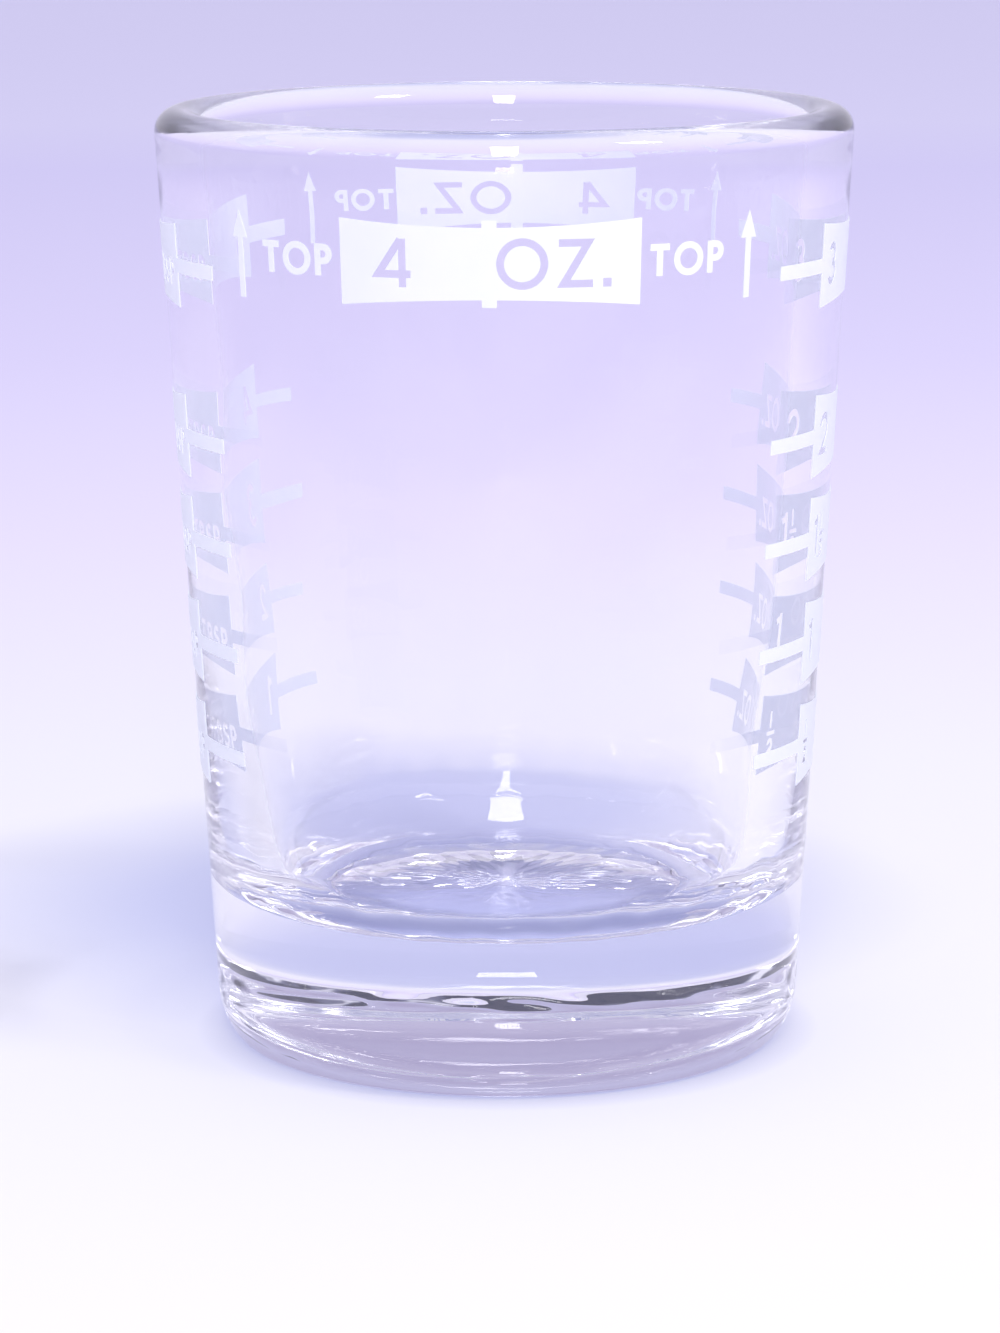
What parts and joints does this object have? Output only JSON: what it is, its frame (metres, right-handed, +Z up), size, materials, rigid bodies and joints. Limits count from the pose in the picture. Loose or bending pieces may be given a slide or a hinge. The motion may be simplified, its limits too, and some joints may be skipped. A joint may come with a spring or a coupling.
{
  "type": "measuring glass",
  "caption": "Small tapered pressed-glass tumbler with a thick base and fired white graduations, for measuring liquids up to a brimful of four fluid ounces.",
  "frame": {"origin": "centre of the foot, on the surface the glass stands on", "axes": "+Z up along the glass's axis, -Y towards the front capacity panel, +X towards the ounce marks"},
  "size_m": [0.0594, 0.0594, 0.0806],
  "materials": {
    "clear_glass": "clear pressed glass, fire polished",
    "white_enamel": "fired enamel, soft gloss"
  },
  "bodies": {
    "root": {"tumbler": "clear_glass", "front_capacity_panel": "white_enamel", "back_capacity_panel": "white_enamel", "front_left_arrow": "white_enamel", "front_right_arrow": "white_enamel", "back_left_arrow": "white_enamel", "back_right_arrow": "white_enamel", "half_ounce_mark": "white_enamel", "one_ounce_mark": "white_enamel", "one_and_a_half_ounce_mark": "white_enamel", "two_ounce_mark": "white_enamel", "three_ounce_mark": "white_enamel", "one_spoon_mark": "white_enamel", "two_spoon_mark": "white_enamel", "three_spoon_mark": "white_enamel", "four_spoon_mark": "white_enamel", "six_spoon_mark": "white_enamel"}
  },
  "joints": []
}
